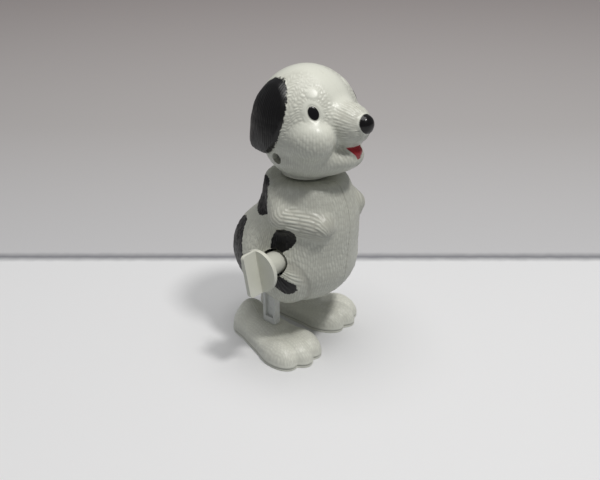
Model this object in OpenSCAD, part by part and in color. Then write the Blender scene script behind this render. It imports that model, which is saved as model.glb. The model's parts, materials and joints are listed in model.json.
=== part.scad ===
// Wind-up walking toy dog: a moulded two-part figure closed round a small clockwork motor.
// The dog faces -Y and its left side is +X, with the winding key on its right. The floor is z = 0.

/* [Head] */
// Radius of the head ball
head_r = 15.6; // [14.5:0.1:17]
// Height of the head's centre above the shoulders
head_rise = 16.5; // [15.5:0.1:18]
// How far the head's centre lies ahead of the belly's middle
head_lead = 4; // [2:0.1:6]
// Reach of the muzzle ahead of the head's centre
muzzle_reach = 22.5; // [20:0.1:25]
// Radius of the muzzle
muzzle_r = 6.2; // [5.6:0.1:6.6]
// Reach of the chin ahead of the head's centre
chin_reach = 19; // [17:0.1:20.5]
// Radius of the nose
nose_r = 2.9; // [2.6:0.1:3.3]
// Half width of a cheek
cheek_r = 6.6; // [6:0.1:7.2]
// Height that the ears stand proud of the head
ear_lift = 0.8; // [0.6:0.1:1.6]
// Length of an ear
ear_l = 21; // [18:0.5:23]
// Width of an ear
ear_w = 15; // [12:0.5:16]

/* [Body] */
// Width of the belly across the figure
belly_w = 37; // [36:0.5:42]
// Depth of the belly from front to back
belly_d = 39; // [38:0.5:44]
// Height of the belly form
belly_h = 31.5; // [31:0.5:36]
// Height of the belly's middle above the crankshaft
belly_rise = 2.7; // [1.5:0.1:3.2]
// Width of the chest under the head
chest_w = 25.5; // [24:0.5:29]
// Depth of the chest under the head
chest_d = 26; // [25:0.5:30]
// Height of the shoulders above the belly's middle
shoulder_rise = 26.2; // [25:0.1:29]
// Distance of the rump behind the belly's middle
rump_reach = 21; // [20:0.1:24]
// How far the haunches stand out from the middle of the figure
haunch_out = 18.3; // [17.8:0.1:18.6]
// Thickness radius of the arms
arm_r = 4.2; // [3.5:0.1:5]
// Height of the left hand above the right one
hand_lift = 2; // [0:0.5:5]
// Wall of the moulded shells
shell_wall = 1.5; // [1.2:0.1:1.8]

/* [Neck] */
// Radius of the neck pivot
neck_r = 5.2; // [4.6:0.1:5.8]
// Gap between the head and the shoulders
neck_gap = 0.4; // [0.3:0.1:0.8]
// How far the neck's rim reaches over the head's floor
neck_rim = 1.5; // [1.2:0.1:1.8]
// Height of the seat that the neck's rim holds, above the head's underside
neck_seat = 2.4; // [2.1:0.1:2.8]

/* [Legs and feet] */
// Height of the crankshaft above the floor
axle_h = 27.2; // [26.5:0.1:30]
// Distance of the crankshaft behind the belly's middle
axle_back = 3.3; // [2.5:0.1:4.5]
// Throw of the cranks
step_r = 2; // [1.5:0.1:2.4]
// Thickness of a leg
leg_t = 2.2; // [1.8:0.1:2.8]
// Width of a leg
leg_w = 5; // [4:0.1:6]
// Height of the ankle's seat on the foot
ankle_h = 7.6; // [7:0.1:8.5]
// Height of the heel
heel_h = 10.9; // [9:0.1:11.5]
// Length of the foot behind the leg
foot_back = 16; // [14:0.5:17.5]
// Length of the foot ahead of the leg
foot_front = 18.5; // [17:0.5:21]
// Half width of the foot across the toes
toe_span = 9; // [8:0.1:10]
// Radius of the heel
heel_r = 5.8; // [5:0.1:6.5]
// Height of the foot over the toes
foot_h = 6.6; // [6:0.1:7.5]
// Angle that each foot turns out
splay = 10; // [6:0.5:16]

/* [Key] */
// Radius of the key's stem
stem_r = 3.35; // [2.8:0.05:3.8]
// Distance of the key's collar from the middle of the figure
collar_x = 22.3; // [21:0.1:25]
// Radius of the key's collar
collar_r = 6.4; // [5.5:0.1:7.5]
// Thickness of the collar and fin
fin_t = 1.2; // [0.9:0.1:1.6]
// Length of the fin outward from the collar
fin_l = 6.2; // [5:0.1:8]
// Corner radius of the fin
fin_round = 1.2; // [0.6:0.1:2]
// Angle that the fin leans from upright
fin_lean = -12; // [-90:1:90]
// Gap round the stem in the body's keyhole
keyhole_gap = 0.9; // [0.6:0.1:1.2]

/* [Clockwork] */
// Gear module
gear_m = 0.5; // [0.48:0.01:0.52]
// Teeth of the great wheel
great_teeth = 32; // [30:1:34]
// Teeth of the wheel on the crankshaft
crank_teeth = 20; // [18:1:21]
// Teeth of the third wheel
third_teeth = 20; // [18:1:21]
// Teeth of each pinion
pinion_teeth = 10; // [10:1:11]
// Thickness of each wheel
gear_t = 1.5; // [1.2:0.1:1.8]
// Play between meshing teeth
backlash = 0.12; // [0.08:0.01:0.16]
// Width of the mainspring
spring_w = 4.4; // [3.8:0.1:5]
// Turns of the mainspring
spring_turns = 5; // [3:1:6]
// Thickness of the mainspring's strip
spring_t = 0.3; // [0.2:0.05:0.4]
// Radius of the governor's fly
fly_r = 4.5; // [3.5:0.1:5]
// Thickness of the governor's fly
fly_t = 1.3; // [1:0.1:1.6]
// Gap between layers of the wheelwork
layer_gap = 0.5; // [0.4:0.05:0.7]
// Wall of the motor case
case_wall = 1.2; // [1:0.1:1.5]
// Gap between the wheels and the case wall
case_gap = 0.4; // [0.3:0.05:0.6]
// Radius of the winding arbor
arbor_r = 1.6; // [1.4:0.05:1.8]
// Radius of the crankshaft
shaft_r = 1.2; // [1:0.05:1.4]
// Radius of the crank pins
pin_r = 1; // [0.8:0.05:1.2]
// Radius of the small pivots
pivot_r = 0.8; // [0.6:0.05:0.9]
// Radial clearance of a running fit
run_gap = 0.06; // [0.03:0.01:0.1]
// Gap between moving faces side by side
side_gap = 0.3; // [0.25:0.05:0.5]

/* [Screws] */
// Shank radius of the body screws
screw_r = 1; // [0.8:0.05:1.2]
// Head radius of the body screws
screw_head_r = 1.6; // [1.5:0.05:1.9]
// Head height of the screws
screw_head_h = 1.1; // [0.8:0.1:1.4]
// Shank radius of the case screws
case_screw_r = 0.8; // [0.6:0.05:0.9]

/* [Hidden] */
$fn = 48;

// Clearance of pieces that are pressed or seated together
snug = 0.02;

// Main forms of the figure
belly_c = [0, 0.5, axle_h + belly_rise];
belly_s = [belly_w, belly_d, belly_h] / 2;
shoulder_z = belly_c.z + shoulder_rise;
chest_c = belly_c + [0, -3.5, 17];
chest_s = [chest_w, chest_d, 46] / 2;
breast_c = belly_c + [0, -8, 13];
breast_s = [13, 12.6, 15.5];
body_eye = belly_c + [0, -1.5, 7];
head_c = [0, belly_c.y - head_lead, shoulder_z + head_rise];
head_floor = shoulder_z + neck_gap;
neck_top = head_floor + neck_seat + side_gap + shell_wall;

// Places of the wheels in the plane across the figure, as [y, z]
pressure = 25;
mesh_great = gear_m * (great_teeth + pinion_teeth) / 2;
mesh_crank = gear_m * (crank_teeth + pinion_teeth) / 2;
mesh_third = gear_m * (third_teeth + pinion_teeth) / 2;
arbor_turn = 146;
third_turn = 63;
fly_turn = 132;
crank_at = [belly_c.y + axle_back, axle_h];
arbor_at = crank_at + mesh_great * polar(arbor_turn);
third_at = crank_at + mesh_crank * polar(third_turn);
fly_at = third_at + mesh_third * polar(fly_turn);

// Layers of the wheelwork along X, from the key side
case_half = (2 * layer_gap + spring_w + 3 * gear_t + fly_t + 3 * layer_gap) / 2;
spring_x = layer_gap / 2 - case_half;
great_x = spring_x + spring_w + layer_gap;
crank_x = great_x + gear_t + layer_gap;
third_x = crank_x + gear_t + layer_gap;
fly_x = third_x + gear_t + layer_gap;
case_out = case_half + case_wall;
crank_t = 1.3;
crank_in = case_out + side_gap;
leg_in = crank_in + crank_t + side_gap;
leg_out = leg_in + leg_t;
leg_x = (leg_in + leg_out) / 2;
crank_r = step_r + pin_r + 1;
knee_r = pin_r + 2.2;
slot_gap = 0.8;

// Room that each wheel takes in the case
great_room = tip_r(great_teeth) + case_gap;
crank_room = tip_r(crank_teeth) + case_gap;
third_room = tip_r(third_teeth) + case_gap;
fly_room = fly_r + case_gap;

// Fastenings, as [y, z]
lug_r = case_screw_r + 1.3;
lugs = [
    lug_between(arbor_at, great_room, crank_at, crank_room),
    lug_between(crank_at, crank_room, third_at, third_room),
    lug_between(fly_at, fly_room, arbor_at, great_room)];
boss_r = screw_r + 1.1;
recess_r = screw_head_r + 0.1;
recess_wall = 0.9;
recess_depth = screw_head_h + 1.2;
recess_out = recess_r + recess_wall;
rump_end = belly_c.y + rump_reach;
body_screw_at = [
    [chest_c.y, shoulder_z - shell_wall - recess_out - 2 * side_gap],
    [rump_end - shell_wall - recess_out, belly_c.z - screw_head_r]];
body_peg_at = [belly_c.y - belly_d * 0.29, belly_c.z - belly_h * 0.29];
head_screw_at = [head_c.y, neck_top + recess_out + 3 * side_gap];
head_peg_at = [head_c.y, head_c.z + head_r * 0.6];
screw_bite = 7;
peg_r = 1;
peg_reach = 2;

function polar(a) = [cos(a), sin(a)];
function tip_r(teeth) = gear_m * (teeth / 2 + 0.8);
function root_r(teeth) = gear_m * (teeth / 2 - 1.05);

// Middle of a lug outside the line that touches two round rooms of the case
function lug_between(a, ra, b, rb) =
    let (d = (b - a) / norm(b - a))
    (a + b) / 2 + [d.y, -d.x] * ((ra + rb) / 2 + case_wall + 0.7);

// Signed gap from a point to an ellipsoid, below zero inside it
function round_gap(p, c, s) =
    let (q = p - c,
         near = norm([q.x / s.x, q.y / s.y, q.z / s.z]),
         slope = norm([q.x / s.x / s.x, q.y / s.y / s.y, q.z / s.z / s.z]))
    slope < 1e-9 ? -min(s) : near * (near - 1) / slope;

// Signed gap from a point to a round bar between two points
function bar_gap(p, a, b, r) =
    let (along = max(0, min(1, (p - a) * (b - a) / ((b - a) * (b - a)))))
    norm(p - a - along * (b - a)) - r;

// Signed gap from a point to a round bar that widens from ra at a to rb at b
function taper_gap(p, a, b, ra, rb) =
    let (along = max(0, min(1, (p - a) * (b - a) / ((b - a) * (b - a)))))
    norm(p - a - along * (b - a)) - ra - (rb - ra) * along;

// Union of two forms with a fillet of about k between them
function melt(a, b, k) = let (h = max(k - abs(a - b), 0) / k) min(a, b) - h * h * k / 4;

// Cut of one form by another with a rounded edge of about k
function trim(a, b, k) = -melt(-a, -b, k);

// Smooth step from 0 to 1 between two values
function ease(a, b, v) = let (t = max(0, min(1, (v - a) / (b - a)))) t * t * (3 - 2 * t);

// Distance along a ray from c at which a form, taken in by inset, ends
function reach(form, inset, c, d, near, far, n) =
    let (mid = (near + far) / 2)
    n == 0 ? mid :
    form(c + mid * d) + inset < 0 ? reach(form, inset, c, d, mid, far, n - 1)
                                  : reach(form, inset, c, d, near, mid, n - 1);

// Height of the ear on the side of the head, thicker towards its hanging tip
function ear_rise(q) =
    let (t = (q.z - 2.5) * 2 / ear_l,
         w = ear_w / 2 * (1 + 0.05 * t),
         y = q.y - 4 + 1.4 * t)
    ear_lift * (1 + 1.5 * max(0, -t)) * ease(1.08, 0.86, norm([y / w, t])) * ease(4, 8, q.x);

// The head, the same on both sides
head_form = function (p)
    let (q = [abs(p.x), p.y, p.z] - head_c,
         skull = round_gap(q, [0, 0, 0], [0.98, 0.96, 1] * head_r),
         muzzle = bar_gap(q, [0, -4, 1], [0, muzzle_r + 1 - muzzle_reach, 1.5], muzzle_r),
         nose = round_gap(q, [0, 2 - muzzle_reach, 2.5], [nose_r, 2.4, nose_r]),
         cheek = round_gap(q, [8.3, -7, -2.2], [cheek_r, cheek_r + 2.2, cheek_r + 0.2]),
         jaw = round_gap(q, [0, 9.8 - chin_reach, -8.2], [8.4, 9.8, 4.8]),
         tongue = round_gap(q, [0, 2.6 - chin_reach, -6], [2.9, 3, 2.6]),
         base = round_gap(q, [0, -1.5, -8], [13.5, 12.5, 8.5]),
         face = melt(melt(melt(skull, muzzle, 2.5), melt(jaw, base, 4), 0.8), cheek, 1.2),
         mouth = melt(melt(face, tongue, 0.3), nose, 0.6))
    trim(mouth, head_floor - p.z, 1.5) - ear_rise(q);

// One side of the body, with its hand raised by lift
function body_form(lift) = function (p)
    let (belly = round_gap(p, belly_c, belly_s),
         chest = round_gap(p, chest_c, chest_s),
         breast = round_gap(p, breast_c, breast_s),
         rump = round_gap(p, belly_c + [0, rump_reach - 10.5, -1.5], [11, 10.5, 11.5]),
         haunch = round_gap(p, belly_c + [haunch_out - 8, -5, -2.5], [8, 9.2, 10]),
         trunk = melt(melt(melt(melt(belly, chest, 8), breast, 4), rump, 5), haunch, 1.2),
         shoulder = belly_c + [10.5, -2.5, 22],
         elbow = belly_c + [13.2, -6, 16.6],
         hand = belly_c + [8, lift / 2 - 15.8, 14.9 + lift],
         arm = min(bar_gap(p, shoulder, elbow, arm_r), bar_gap(p, elbow, hand, arm_r)))
    trim(melt(trunk, arm, 1.5), p.z - shoulder_z, 2);

// A foot, measured [up, ahead of the leg, out to the side]
foot_form = function (p)
    let (heel_at = heel_r - foot_back,
         ball_at = foot_front - toe_span - 2,
         along = (p.y - heel_at) / (ball_at - heel_at),
         outline = taper_gap([0, p.y, p.z], [0, heel_at, 0], [0, ball_at, 0], heel_r, toe_span),
         sole = trim(outline, p.x - foot_h + 1.2 + 1.6 * max(0, min(1.4, along)), 4),
         heel = round_gap(p, [1, heel_at, 0], [heel_h - 1, heel_r, heel_r - 0.2]),
         mound = round_gap(p, [0, -1, 0], [ankle_h + 1.6, leg_w / 2 + 5.5, leg_w / 2 + 3.5]),
         ankle = trim(mound, p.x - ankle_h, 1.2),
         toe_r = toe_span * 0.5,
         toes = [for (s = [-1:1]) round_gap(p,
                    [1, foot_front - 7 - 1.6 * abs(s), s * (toe_span - toe_r + 0.3)],
                    [foot_h - 1, 7, toe_r])])
    melt(melt(melt(sole, heel, 2), ankle, 2), min(toes), 1.2);

// Surface grids: the pole is +X and the last ring lies in the plane x = c.x
round_steps = 56;
outer_rows = 20;
inner_rows = 7;
far_reach = 60;
halvings = 18;

function ray(tilt, turn, s) = [s.x * cos(tilt), s.y * sin(tilt) * cos(turn), s.z * sin(tilt) * sin(turn)];
function spot(form, inset, c, d) = c + d * reach(form, inset, c, d, 0, far_reach, halvings);
function skin(form, inset, c, rows, s) = [
    spot(form, inset, c, [1, 0, 0]),
    for (i = [1:rows]) for (j = [0:round_steps - 1])
        spot(form, inset, c, ray(90 * i / rows, 360 * j / round_steps, s))];
function ring(first, i, j) = first + (i == 0 ? 0 : 1 + (i - 1) * round_steps + j % round_steps);
function grid_faces(first, rows) = [
    for (j = [0:round_steps - 1]) [first, ring(first, 1, j + 1), ring(first, 1, j)],
    for (i = [1:rows - 1]) for (j = [0:round_steps - 1]) each [
        [ring(first, i, j), ring(first, i, j + 1), ring(first, i + 1, j + 1)],
        [ring(first, i, j), ring(first, i + 1, j + 1), ring(first, i + 1, j)]]];
function flipped(faces) = [for (f = faces) [f[2], f[1], f[0]]];

// Hollow half of a form on the +X side, open at the plane x = 0
module half_shell(form, c) {
    outer = skin(form, 0, c, outer_rows, [1, 1, 1]);
    inner = skin(form, shell_wall, c, inner_rows, [1, 1, 1]);
    first = len(outer);
    rim = [for (j = [0:round_steps - 1]) each [
        [ring(0, outer_rows, j), ring(0, outer_rows, j + 1), ring(first, inner_rows, j + 1)],
        [ring(0, outer_rows, j), ring(first, inner_rows, j + 1), ring(first, inner_rows, j)]]];
    polyhedron(concat(outer, inner),
               concat(grid_faces(0, outer_rows), flipped(grid_faces(first, inner_rows)), rim));
}

// Solid half of a form on the +X side of the origin
module half_solid(form, c, rows, s) {
    pts = concat(skin(form, 0, c, rows, s), [c]);
    polyhedron(pts, concat(grid_faces(0, rows),
               [for (j = [0:round_steps - 1]) [ring(0, rows, j), ring(0, rows, j + 1), len(pts) - 1]]));
}

// Distance of a form's surface from the middle plane at [y, z], taken in by inset
function side_x(form, inset, at) = reach(form, inset, [0, at.x, at.y], [1, 0, 0], 0, far_reach, halvings);

// Furthest that a round boss along X may reach without breaking through the form's skin
function boss_x(form, at, r) =
    min([for (turn = [0:45:315]) side_x(form, shell_wall / 4, at + r * polar(turn))]);

// Seat of a screw's head at the bottom of its recess in the form
function seat_x(form, at) = boss_x(form, at, recess_out) - recess_depth;

// Boss with a recess for a screw that goes in from the +X side
module screw_boss(form, at) {
    bar(0, seat_x(form, at), boss_r, at);
    bar(seat_x(form, at) - recess_wall, boss_x(form, at, recess_out), recess_out, at);
}

// Holes of that boss
module screw_holes(form, at) {
    bar(-1, far_reach, screw_r + snug, at);
    bar(seat_x(form, at), far_reach, recess_r, at);
}

// Boss on the other half that the screw bites into, and its hole
module bite_boss(form, at) bar(0, boss_x(form, at, boss_r), boss_r, at);
module bite_hole(at) bar(-1, screw_bite + 0.2, screw_r + snug, at);

// Locating peg on one half, its socket on the other and the socket's hole
module peg(form, at) bar(-peg_reach, boss_x(form, at, peg_r), peg_r, at);
module socket(form, at) bar(0, boss_x(form, at, peg_r + 1), peg_r + 1, at);
module socket_hole(at) bar(-1, peg_reach + 0.3, peg_r + snug, at);

// Puts a shape drawn in [y, z] at x, with its height along X
module along_x(x, at = [0, 0]) translate([x, at.x, at.y]) rotate([90, 0, 90]) children();

// Round bar along X from x0 to x1
module bar(x0, x1, r, at) along_x(x0, at) cylinder(h = x1 - x0, r = r);

// Block on the +X side of the origin
module left_side(size) translate([0, -size, 0]) cube([size, 2 * size, 2 * far_reach]);

// Screw along X: its head's seat at x = 0, its point towards -X
module screw(length, shank_r, cap_r) {
    rotate([0, -90, 0]) cylinder(h = length, r = shank_r);
    rotate([0, 90, 0]) difference() {
        cylinder(h = screw_head_h, r = cap_r);
        for (turn = [0, 90]) rotate(turn)
            translate([-cap_r * 0.7, -0.2, screw_head_h - 0.5]) cube([cap_r * 1.4, 0.4, 1]);
    }
}

// Involute gear outline with a tooth's middle at the angle phase
module gear_outline(teeth, phase) {
    pitch_r = gear_m * teeth / 2;
    base_r = pitch_r * cos(pressure);
    tooth_half = 90 / teeth - backlash / 4 / pitch_r * 180 / PI;
    function roll(a) = tan(a) * 180 / PI - a;
    function half_at(r) = tooth_half + roll(pressure) - (r > base_r ? roll(acos(base_r / r)) : 0);
    low = max(base_r, root_r(teeth));
    radii = [root_r(teeth), for (i = [root_r(teeth) < base_r ? 0 : 1:4]) low + (tip_r(teeth) - low) * i / 4];
    last = len(radii) - 1;
    polygon([for (k = [0:teeth - 1]) let (a = phase + 360 * k / teeth) each concat(
        [for (i = [0:last]) radii[i] * polar(a - half_at(radii[i]))],
        [for (i = [last:-1:0]) radii[i] * polar(a + half_at(radii[i]))])]);
}

// Phase of a gear that meshes with one whose tooth points at the angle phase, seen in direction turn
function mesh_phase(turn, phase, teeth, next) = turn + 180 + 180 / next + (turn - phase) * teeth / next;

// Outline of the motor case round its wheels, widened by extra
module case_outline(extra) hull() {
    translate(arbor_at) circle(great_room + extra);
    translate(crank_at) circle(crank_room + extra);
    translate(third_at) circle(third_room + extra);
    translate(fly_at) circle(fly_room + extra);
}

// Bearing holes and screw holes that the case and its cover share
module case_holes(x, depth, arbor_bore) {
    bar(x - 1, x + depth + 1, arbor_bore + run_gap, arbor_at);
    bar(x - 1, x + depth + 1, shaft_r + run_gap, crank_at);
    for (at = [third_at, fly_at]) bar(x - 1, x + depth + 1, pivot_r + run_gap, at);
    for (at = lugs) bar(x - 1 - 2 * case_out, x + depth + 1 + 2 * case_out, case_screw_r + snug, at);
}

module motor_case() color("gainsboro") difference() {
    union() {
        along_x(-case_out) linear_extrude(case_out + case_half) case_outline(case_wall);
        for (at = lugs) bar(-case_out, case_half, lug_r, at);
    }
    along_x(-case_half) linear_extrude(2 * case_half + 1) case_outline(0);
    case_holes(-case_out, case_wall, arbor_r);
}

module motor_cover() color("whitesmoke") difference() {
    union() {
        along_x(case_half) linear_extrude(case_wall) case_outline(case_wall);
        for (at = lugs) bar(case_half, case_out, lug_r, at);
    }
    case_holes(case_half, case_wall, arbor_end_r);
}

case_screw_l = 2 * case_out + 4;
module case_screws() color("silver") for (at = lugs)
    translate([case_out, at.x, at.y]) screw(case_screw_l, case_screw_r, lug_r - 0.4);

// Winding arbor: square for the key, journal, spring hub, square for the ratchet, end pivot
hub_r = arbor_r + 0.5;
square_w = arbor_r * 1.38;
arbor_end_r = arbor_r - 0.6;
ratchet_t = 1.1;
ratchet_x = great_x + gear_t + layer_gap / 2;
key_in = case_out + side_gap;
socket_end = collar_x - 3;

module square_bar(x0, x1, w, at)
    along_x(x0, at) linear_extrude(x1 - x0) square(w, center = true);

module winding_arbor() color("silver") {
    square_bar(-socket_end, -key_in + 0.1, square_w, arbor_at);
    bar(-key_in, spring_x, arbor_r, arbor_at);
    bar(spring_x - 0.1, great_x - 0.15, hub_r, arbor_at);
    bar(great_x - 0.2, ratchet_x - 0.1, arbor_r, arbor_at);
    square_bar(ratchet_x - 0.15, ratchet_x + ratchet_t, square_w, arbor_at);
    bar(ratchet_x + ratchet_t - 0.05, case_out, arbor_end_r, arbor_at);
}

// Ratchet: teeth that push one way and slide past the click the other way
ratchet_teeth = 8;
ratchet_out = arbor_r + 1.4;
ratchet_in = arbor_r + 0.65;
module ratchet_wheel() color("silver") along_x(ratchet_x, arbor_at) linear_extrude(ratchet_t) difference() {
    polygon([for (k = [0:ratchet_teeth - 1]) each [
        ratchet_out * polar(360 * k / ratchet_teeth),
        ratchet_in * polar(360 * (k + 1) / ratchet_teeth)]]);
    square(square_w + 2 * snug, center = true);
}

// Click: a leaf pinned on the great wheel, its tip in a tooth of the ratchet
click_pin_r = 0.5;
click_pin = (ratchet_out + 1.65) * polar(38);
click_tip = (ratchet_in + 0.3) * polar(87);
click_t = 0.25;
module click_spring() color("silver") {
    bar(great_x + 0.2, ratchet_x + ratchet_t, click_pin_r, arbor_at + click_pin);
    along_x(ratchet_x + 0.1, arbor_at) linear_extrude(ratchet_t - 0.2)
        translate(click_pin) rotate(atan2(click_tip.y - click_pin.y, click_tip.x - click_pin.x))
        translate([0, -click_t / 2]) square([norm(click_tip - click_pin), click_t]);
}

module great_wheel() color("khaki") difference() {
    along_x(great_x, arbor_at) linear_extrude(gear_t) gear_outline(great_teeth, 0);
    bar(great_x - 1, great_x + gear_t + 1, arbor_r + run_gap, arbor_at);
    bar(great_x - 1, great_x + gear_t + 1, click_pin_r + snug, arbor_at + click_pin);
    for (k = [1:4]) bar(great_x - 1, great_x + gear_t + 1, 1.3, arbor_at + 5.4 * polar(38 + 72 * k));
}

// Mainspring: a flat strip coiled from the hub to the case wall
module mainspring() {
    turns_deg = 360 * spring_turns;
    r0 = hub_r + 0.15 + spring_t / 2;
    r1 = great_room - 0.25 - spring_t / 2;
    steps = spring_turns * 24;
    function coil(i, s) = (r0 + (r1 - r0) * i / steps + s * spring_t / 2) * polar(turns_deg * i / steps);
    color("slategray") along_x(spring_x, arbor_at) linear_extrude(spring_w)
        polygon([for (i = [0:steps]) coil(i, 1), for (i = [steps:-1:0]) coil(i, -1)]);
}

// Fin that fingers turn, standing out from the collar along -X
module key_fin() translate([0, fin_t / 2, 0]) rotate([90, 0, 0]) linear_extrude(fin_t) {
    translate([-fin_l, -collar_r]) offset(fin_round) offset(-fin_round) square([fin_l, 2 * collar_r]);
    translate([-fin_l / 2, -collar_r]) square([fin_l / 2, 2 * collar_r]);
}

module winding_key() color("ivory") difference() {
    union() {
        bar(-collar_x, -key_in, stem_r, arbor_at);
        bar(-collar_x - fin_t, -collar_x + 0.01, collar_r, arbor_at);
        translate([-collar_x, arbor_at.x, arbor_at.y]) rotate([fin_lean, 0, 0]) key_fin();
    }
    square_bar(-socket_end - snug, 0, square_w + 2 * snug, arbor_at);
}

// Crank gear: a pinion that the great wheel drives, beside the wheel that drives the rest
pinion_x = great_x - 0.2;
module crank_gear() color("khaki") difference() {
    union() {
        along_x(pinion_x, crank_at) linear_extrude(crank_x - pinion_x + 0.01)
            gear_outline(pinion_teeth, mesh_phase(arbor_turn + 180, 0, great_teeth, pinion_teeth));
        along_x(crank_x, crank_at) linear_extrude(gear_t) gear_outline(crank_teeth, 0);
    }
    bar(pinion_x - 1, crank_x + gear_t + 1, shaft_r + snug, crank_at);
}

module crankshaft() color("silver") bar(-crank_in - crank_t, crank_in + crank_t, shaft_r, crank_at);

// Crank on the +X end of the shaft, its pin at the angle turn
module crank(turn) {
    difference() {
        bar(crank_in, crank_in + crank_t, crank_r, crank_at);
        bar(crank_in - 1, crank_in + crank_t + 1, shaft_r + snug, crank_at);
    }
    bar(crank_in + crank_t - 0.01, leg_out + side_gap, pin_r, crank_at + step_r * polar(turn));
}

module crank_left() color("gainsboro") crank(0);
module crank_right() color("gainsboro") mirror([1, 0, 0]) crank(180);

module third_wheel() color("khaki") {
    bar(-case_out, case_out, pivot_r, third_at);
    along_x(crank_x - 0.2, third_at) linear_extrude(third_x - crank_x + 0.21)
        gear_outline(pinion_teeth, mesh_phase(third_turn, 0, crank_teeth, pinion_teeth));
    along_x(third_x, third_at) linear_extrude(gear_t) gear_outline(third_teeth, 0);
}

module governor_pinion() color("khaki") {
    bar(-case_out, case_out, pivot_r, fly_at);
    along_x(third_x - 0.2, fly_at) linear_extrude(gear_t + 0.4)
        gear_outline(pinion_teeth, mesh_phase(fly_turn, 0, third_teeth, pinion_teeth));
}

module governor_fly() color("silver") difference() {
    bar(fly_x, fly_x + fly_t, fly_r, fly_at);
    bar(fly_x - 1, fly_x + fly_t + 1, pivot_r + snug, fly_at);
    for (turn = [0, 180]) bar(fly_x - 1, fly_x + fly_t + 1, fly_r * 0.25, fly_at + fly_r * 0.6 * polar(turn));
}

// Leg on the +X side, hanging from the crank pin at [y, z]
peg_l = 3.5;
peg_w = leg_w - 1.4;
module leg(pin_at) difference() {
    union() {
        bar(leg_in, leg_out, knee_r, pin_at);
        translate([leg_in, pin_at.x - leg_w / 2, ankle_h]) cube([leg_t, leg_w, pin_at.y - ankle_h]);
        translate([leg_in, pin_at.x - peg_w / 2, ankle_h - peg_l]) cube([leg_t, peg_w, peg_l + 1]);
    }
    bar(leg_in - 1, leg_out + 1, pin_r + run_gap, pin_at);
    translate([leg_out - leg_t * 0.4, pin_at.x - leg_w / 2 + 1, ankle_h + 2])
        cube([leg_t, leg_w - 2, pin_at.y - knee_r - ankle_h - 3]);
}

right_pin = crank_at + step_r * polar(180);
left_pin = crank_at + step_r * polar(0);

module leg_left() color("lightgray") leg(left_pin);
module leg_right() color("lightgray") mirror([1, 0, 0]) leg(right_pin);

// Foot on the +X side under a leg whose pin is at y
module foot(pin_y) difference() {
    translate([leg_x, pin_y, 0]) rotate(180 + splay) rotate([0, -90, 0])
        half_solid(foot_form, [-0.4, 2, 0], 10, [1, 2.2, 1.2]);
    translate([0, 0, -far_reach]) cube(2 * far_reach, center = true);
    translate([leg_in - snug, pin_y - peg_w / 2 - snug, ankle_h - peg_l - snug])
        cube([leg_t + 2 * snug, peg_w + 2 * snug, far_reach]);
    translate([leg_in - snug, pin_y - leg_w / 2 - snug, ankle_h])
        cube([leg_t + 2 * snug, leg_w + 2 * snug, far_reach]);
}

module foot_left() color("white") foot(left_pin.x);
module foot_right() color("white") mirror([1, 0, 0]) foot(right_pin.x);

// Slot in the underside for a leg's walk
module leg_slot() translate([leg_in - slot_gap, crank_at.x - step_r - leg_w / 2 - slot_gap, 0])
    cube([leg_t + 2 * slot_gap, leg_w + 2 * step_r + 2 * slot_gap, axle_h - crank_r]);

// Disc round the neck's axis between two heights
module neck_disc(z0, z1, r) translate([0, head_c.y, z0]) cylinder(h = z1 - z0, r = r);

// Half of the neck pivot, standing on the shoulders
module neck_half() intersection() {
    union() {
        neck_disc(shoulder_z - shell_wall / 2, neck_top, neck_r);
        neck_disc(neck_top - shell_wall, neck_top, neck_r + neck_rim);
    }
    left_side(far_reach);
}

// Body half on the +X side, before its own holes
module body_half(lift) {
    half_shell(body_form(lift), body_eye);
    neck_half();
}

module body_left() color("white") difference() {
    union() {
        body_half(hand_lift);
        for (at = body_screw_at) screw_boss(body_form(hand_lift), at);
        socket(body_form(hand_lift), body_peg_at);
    }
    leg_slot();
    for (at = body_screw_at) screw_holes(body_form(hand_lift), at);
    socket_hole(body_peg_at);
}

module body_right() color("white") mirror([1, 0, 0]) difference() {
    union() {
        body_half(0);
        for (at = body_screw_at) bite_boss(body_form(0), at);
        for (at = lugs) bar(case_out, boss_x(body_form(0), at, lug_r), lug_r, at);
        peg(body_form(0), body_peg_at);
    }
    leg_slot();
    bar(case_out, far_reach, stem_r + keyhole_gap, arbor_at);
    for (at = body_screw_at) bite_hole(at);
    for (at = lugs) bar(0, case_screw_l - case_out + 0.2, case_screw_r + snug, at);
}

module body_screws() color("silver") for (at = body_screw_at) {
    seat = seat_x(body_form(hand_lift), at);
    translate([seat, at.x, at.y]) screw(seat + screw_bite, screw_r, screw_head_r);
}

// Head half on the +X side, with a seat for the neck's rim
module head_half() difference() {
    union() {
        half_shell(head_form, head_c);
        intersection() {
            neck_disc(head_floor, head_floor + neck_seat, neck_r + neck_rim + shell_wall / 2);
            left_side(far_reach);
        }
    }
    neck_disc(head_floor - 1, neck_top, neck_r + run_gap);
    neck_disc(head_floor + neck_seat, neck_top + side_gap, neck_r + neck_rim + side_gap);
}

module head_right() color("white") mirror([1, 0, 0]) difference() {
    union() {
        head_half();
        screw_boss(head_form, head_screw_at);
        peg(head_form, head_peg_at);
    }
    screw_holes(head_form, head_screw_at);
}

module head_left() color("white") difference() {
    union() {
        head_half();
        bite_boss(head_form, head_screw_at);
        socket(head_form, head_peg_at);
    }
    bite_hole(head_screw_at);
    socket_hole(head_peg_at);
}

module head_screw() color("silver") mirror([1, 0, 0]) {
    seat = seat_x(head_form, head_screw_at);
    translate([seat, head_screw_at.x, head_screw_at.y]) screw(seat + screw_bite, screw_r, screw_head_r);
}

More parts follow.
